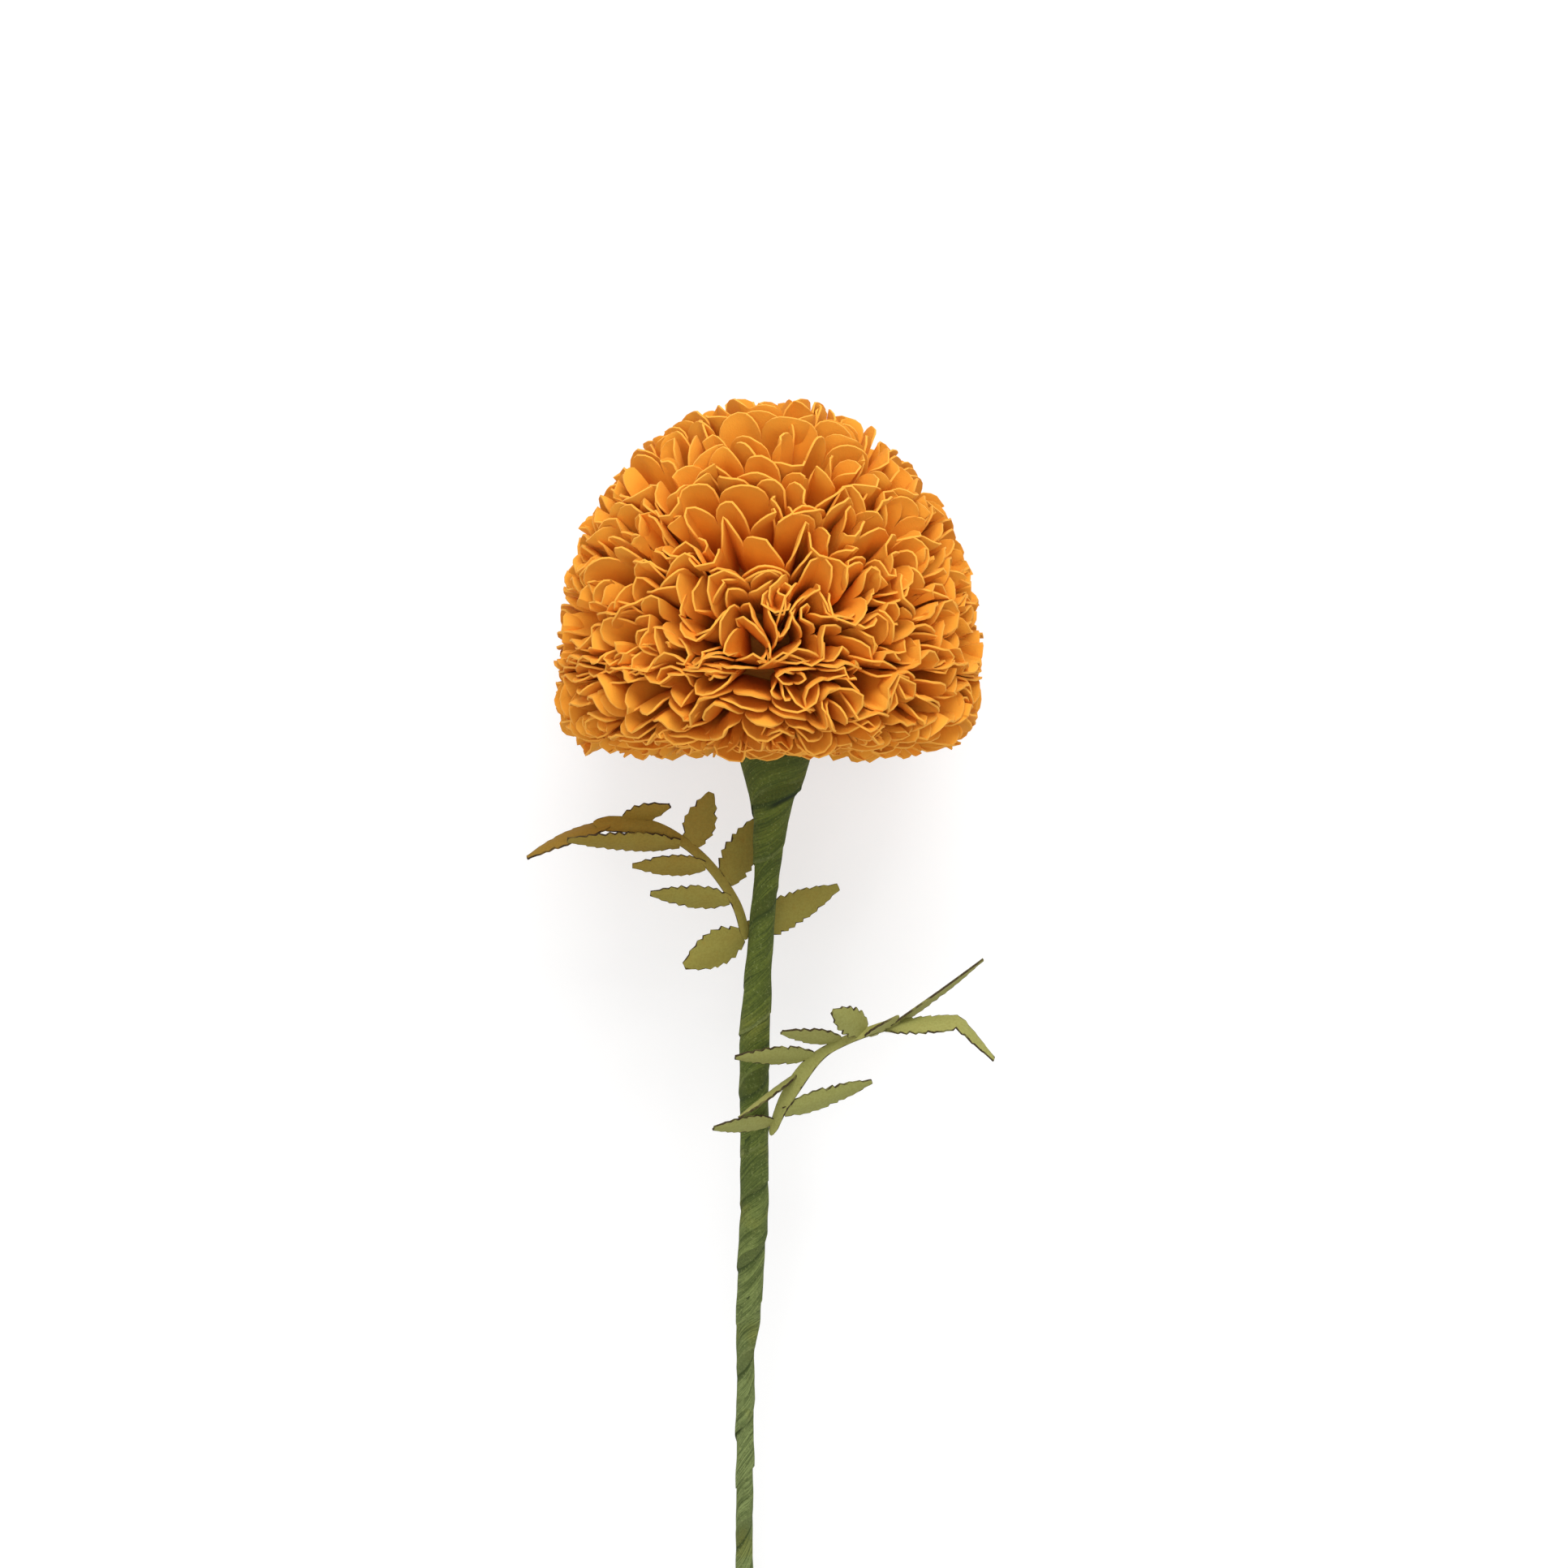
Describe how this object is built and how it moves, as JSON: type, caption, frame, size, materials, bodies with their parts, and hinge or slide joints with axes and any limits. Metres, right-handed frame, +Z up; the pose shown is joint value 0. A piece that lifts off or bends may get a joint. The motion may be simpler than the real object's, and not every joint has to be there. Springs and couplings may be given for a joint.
{
  "type": "paper flower",
  "caption": "Paper marigold with a domed head of gathered orange petals on a crepe-wrapped wire stem with two cut-paper leaf sprigs, lying on its side.",
  "frame": {"origin": "under the middle of the bounding box, on the surface that the flower lies on", "axes": "+Y along the flower towards the top of its head, +X to the right as the picture shows it, +Z up towards the viewer"},
  "size_m": [0.0966, 0.3048, 0.0871],
  "materials": {
    "petal_paper": "matt dyed paper",
    "core_paper": "rolled matt paper",
    "crepe_paper": "stretched crepe paper, matt",
    "olive_leaf": "matt card with scorched edges",
    "pale_leaf": "matt card with scorched edges",
    "steel_wire": "plain florist wire"
  },
  "bodies": {
    "root": {"tuft_petals_1": "petal_paper", "tuft_petals_2": "petal_paper", "crown_petals_1": "petal_paper", "crown_petals_2": "petal_paper", "dome_petals_1": "petal_paper", "dome_petals_2": "petal_paper", "dome_petals_3": "petal_paper", "dome_petals_4": "petal_paper", "dome_petals_5": "petal_paper", "dome_petals_6": "petal_paper", "dome_petals_7": "petal_paper", "dome_petals_8": "petal_paper", "dome_petals_9": "petal_paper", "skirt_petals_1": "petal_paper", "skirt_petals_2": "petal_paper", "skirt_petals_3": "petal_paper", "head_core": "core_paper", "stem_wire": "steel_wire", "stem_wrap": "crepe_paper", "upper_leaf": "olive_leaf", "upper_leaf_wire": "steel_wire", "lower_leaf": "pale_leaf", "lower_leaf_wire": "steel_wire"}
  },
  "joints": []
}
